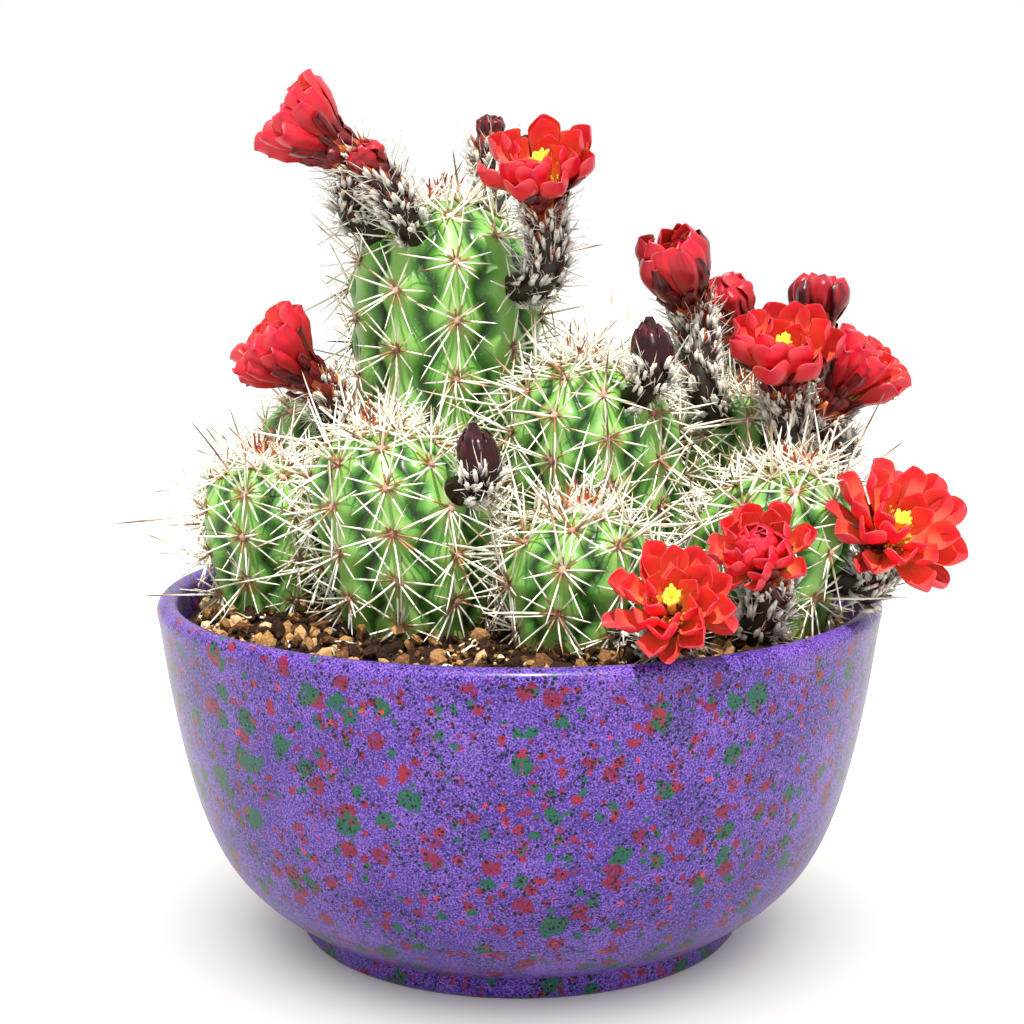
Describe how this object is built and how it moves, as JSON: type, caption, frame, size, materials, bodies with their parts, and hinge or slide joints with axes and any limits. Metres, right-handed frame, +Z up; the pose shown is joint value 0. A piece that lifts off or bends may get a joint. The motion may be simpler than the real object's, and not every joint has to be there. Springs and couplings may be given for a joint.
{
  "type": "potted hedgehog cactus",
  "caption": "Clump of ribbed, spiny cactus stems with red funnel flowers and dark buds, rooted in gritty soil in a round glazed footed bowl.",
  "frame": {"origin": "middle of the footprint of plant and bowl, on the surface that the foot ring rests on", "axes": "+Z up along the bowl's axis, -Y towards the camera of the picture, +X to its right"},
  "size_m": [0.2186, 0.2064, 0.2414],
  "materials": {
    "glaze": "gloss speckled violet glaze",
    "soil": "matte gritty potting soil",
    "cactus_skin": "satin waxy skin",
    "flower_tube": "matte, woolly and scaly",
    "petals": "satin petal",
    "stigma": "matte, powdery",
    "bud": "satin"
  },
  "bodies": {
    "root": {"bowl": "glaze", "bud_centre": "bud", "bud_front_left": "bud", "bud_tall_back": "bud", "bud_tall_withered": "bud", "petals_front_crowded": "petals", "petals_front_open": "petals", "petals_left": "petals", "petals_right_back": "petals", "petals_right_cup": "petals", "petals_right_faded": "petals", "petals_right_high": "petals", "petals_right_side": "petals", "petals_rim_open": "petals", "petals_tall_left": "petals", "petals_tall_right": "petals", "soil": "soil", "stem_back_left": "cactus_skin", "stem_back_right": "cactus_skin", "stem_back_small": "cactus_skin", "stem_centre": "cactus_skin", "stem_far_left": "cactus_skin", "stem_front_centre": "cactus_skin", "stem_front_left": "cactus_skin", "stem_front_right": "cactus_skin", "stem_right": "cactus_skin", "stem_tall": "cactus_skin", "stigma_front_crowded": "stigma", "stigma_front_open": "stigma", "stigma_left": "stigma", "stigma_right_cup": "stigma", "stigma_right_side": "stigma", "stigma_rim_open": "stigma", "stigma_tall_left": "stigma", "stigma_tall_right": "stigma", "tube_front_crowded": "flower_tube", "tube_front_open": "flower_tube", "tube_left": "flower_tube", "tube_right_back": "flower_tube", "tube_right_cup": "flower_tube", "tube_right_faded": "flower_tube", "tube_right_high": "flower_tube", "tube_right_side": "flower_tube", "tube_rim_open": "flower_tube", "tube_tall_left": "flower_tube", "tube_tall_right": "flower_tube"}
  },
  "joints": []
}
